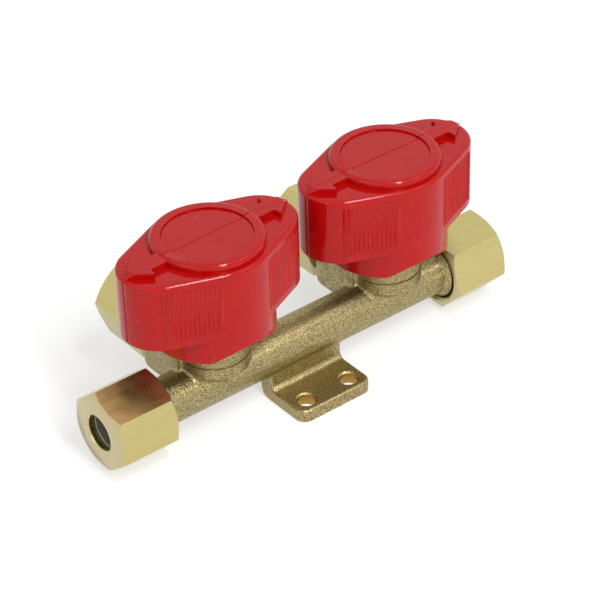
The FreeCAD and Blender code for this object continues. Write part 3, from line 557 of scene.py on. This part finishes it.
def raised_outline():
    """Points(i, j) = corner i of the outline, inset and raised by step j of the profile."""
    count, rows = len(ARROW_OUTLINE), len(ARROW_PROFILE)
    points = np.concatenate([np.column_stack([inset(ARROW_OUTLINE, step), np.full(count, rise)])
                             for step, rise in ARROW_PROFILE])
    points[:, 2] = np.minimum(points[:, 2], top_at(points[:, 0]))
    last = count * (rows - 1)
    tops = [[last + corner for corner in corners] for corners in (LEVEL_CORNERS, SLOPING_CORNERS)]
    return points, bands(rows, count) + [list(range(count))] + tops


def seam():
    """Points(i, j) = corner j of the profile, set on the arrow's top at station i."""
    count, rows = len(SEAM_PROFILE), len(SEAM_STATIONS)
    along, corner = np.meshgrid(np.arange(rows), np.arange(count), indexing="ij")
    x = SEAM_STATIONS[along]
    heights = top_at(x) + SEAM_PROFILE[corner, 1]
    points = np.stack([x, SEAM_PROFILE[corner, 0], heights], axis=-1).reshape(-1, 3)
    near_end, far_end = list(range(count)), list(range(count * rows - 1, count * rows - count - 1, -1))
    return points, bands(rows, count) + [near_end, far_end]


print("arrow surfaces:", len(raised_outline()[1]) + len(seam()[1]), "faces")

# %% [markdown]
# ## Four arrows that turn with their handles
# Each handle gets one arrow outwards and one inwards, set on its flat top, which lies below its
# highest point by the height of its crown. The left handle stands a little off its stop, and the
# lower end of a handle's joint range says by how much. Each arrow rides on its handle's body, so it
# follows when the handle turns.

# %% Arrows on both handles
CROWN_HEIGHT = 1.8 * MM
HANDLE_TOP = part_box("handle_right")[1].z - CROWN_HEIGHT
RANGES = {joint["name"]: joint.get("range_deg") for joint in RECORD["behaviour"]["joints"]}
HANDLE_TURN = {side: math.radians(-RANGES["handle_turn_" + side][0]) for side in VALVE_CENTRES}


def arrow(side, direction):
    """Points = outline and seam, turned about Z with their handle and set on its top."""
    parts = [raised_outline(), seam()]
    offsets = np.cumsum([0] + [len(points) for points, _ in parts])
    points = np.concatenate([points for points, _ in parts])
    faces = [[index + offset for index in face] for (_, part), offset in zip(parts, offsets) for face in part]
    angle = HANDLE_TURN[side] + (math.pi if direction < 0 else 0)
    along, aside = math.cos(angle), math.sin(angle)
    spin = np.array([[along, aside, 0], [-aside, along, 0], [0, 0, 1]])
    centre = VALVE_CENTRES[side]
    points = points @ spin * MM + np.array([centre.x, centre.y, HANDLE_TOP])
    mesh = bpy.data.meshes.new("arrow")
    mesh.from_pydata(points.tolist(), [], faces)
    mesh.materials.append(RED_PLASTIC)
    mesh.update()
    shape = bmesh.new()
    shape.from_mesh(mesh)
    bmesh.ops.recalc_face_normals(shape, faces=shape.faces)
    shape.to_mesh(mesh)
    shape.free()
    piece = bpy.data.objects.new("arrow_%s_%s" % (side, "out" if direction > 0 else "in"), mesh)
    bpy.context.collection.objects.link(piece)
    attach(piece, "handle_" + side)
    return piece


ARROWS = [arrow(side, direction) for side in VALVE_CENTRES for direction in (-1, 1)]
print("made", len(ARROWS), "arrows")

# %% [markdown]
# ## The table
# The part stands on a white table. More lamps could make a table white, but they would bleach the
# part as well. So to the camera and in reflections the table is partly an even white glow, which keeps
# the background white, and partly lit white paint, which keeps the part's shadow. Light that bounces
# off it meets only the paint, so the glow puts no more light on the part.

# %% White floor that keeps the shadow
FLOOR_REACH, FLOOR_GAP = 3.0, 0.05 * MM
FLOOR_GLOW = 0.42
GLOW_STRENGTH = 1.3
WHITE, WHITE_PAINT = (1, 1, 1), (0.9, 0.9, 0.9)


def white_floor():
    """A share of what is seen is an even white glow, and the rest is lit white paint."""
    finish = Finish("white_floor")
    finish.set(Base_Color=WHITE_PAINT, Roughness=0.9)
    paint = Channel(finish, finish.shader.outputs["BSDF"])
    glow = finish.node("ShaderNodeEmission", {}, {"Color": WHITE, "Strength": GLOW_STRENGTH}).pick("Emission")
    mixed = finish.node("ShaderNodeMixShader", {}, {0: finish.seen_ray() * FLOOR_GLOW, 1: paint, 2: glow})
    finish.feed(finish.tree.nodes["Material Output"].inputs["Surface"], mixed.pick("Shader"))
    return finish.material


floor_mesh = bpy.data.meshes.new("floor")
floor_height = CAD_BOX[0][2] - FLOOR_GAP
square = np.array([(-1, -1), (1, -1), (1, 1), (-1, 1)]) * FLOOR_REACH
floor_mesh.from_pydata([(x, y, floor_height) for x, y in square], [], [(0, 1, 2, 3)])
floor_mesh.materials.append(white_floor())
floor = bpy.data.objects.new("floor", floor_mesh)
bpy.context.collection.objects.link(floor)
print("floor at %.2f mm" % (floor_height / MM))

# %% [markdown]
# ## The room's light
# The walls of the room are white. They could be a large box with a glowing material, but the world
# lights from all sides without any mesh. It lights the part at a plain level, at which colours render
# about as they are written, while the camera and the brass see it at full white.

# %% Room light
ROOM_LIGHT = 0.5

world = bpy.data.worlds.new("room")
bpy.context.scene.world = world
world.use_nodes = True
room = Graph(world.node_tree)
lighting = Channel(room, room.tree.nodes["Background"].outputs["Background"])
room.feed(room.tree.nodes["Background"].inputs["Color"], WHITE)
room.feed(room.tree.nodes["Background"].inputs["Strength"], ROOM_LIGHT)
backdrop = room.node("ShaderNodeBackground", {}, {"Color": WHITE}).pick("Background")
walls = room.node("ShaderNodeMixShader", {}, {0: room.seen_ray(), 1: lighting, 2: backdrop})
room.feed(room.tree.nodes["World Output"].inputs["Surface"], walls.pick("Shader"))
print("room lit at", ROOM_LIGHT)

# %% [markdown]
# ## Three lamps
# A small key lamp stands on the right. A long strip lamp in front is rolled so that the rounded front
# edges of both handles mirror it along their length, which draws the pale line seen on them in the
# photograph. A weak fill on the left keeps the nut's end face and the left walls from going dull.

# %% Lamps
LAMP_DISTANCE = 0.8


def lamp(name, direction, width, height, power, roll=0.0):
    """A soft lamp of a width and height that looks at the part from a direction, rolled about it."""
    light = bpy.data.lights.new(name, "AREA")
    light.shape, light.size, light.size_y, light.energy = "RECTANGLE", width, height, power
    piece = bpy.data.objects.new(name, light)
    towards = Vector(direction).normalized()
    piece.location = AIM + towards * LAMP_DISTANCE
    turn = towards.to_track_quat("Z", "Y") @ Quaternion((0, 0, 1), math.radians(roll))
    piece.rotation_euler = turn.to_euler()
    bpy.context.collection.objects.link(piece)
    return piece


LAMPS = [lamp("key", (0.45, -0.42, 0.79), width=0.35, height=0.2, power=0.5),
         lamp("strip", (-0.045, -0.616, 0.787), width=0.12, height=0.6, power=4.2, roll=-15.0),
         lamp("fill", (-0.8, -0.2, 0.55), width=0.4, height=0.4, power=0.6)]
print("set", len(LAMPS), "lamps")
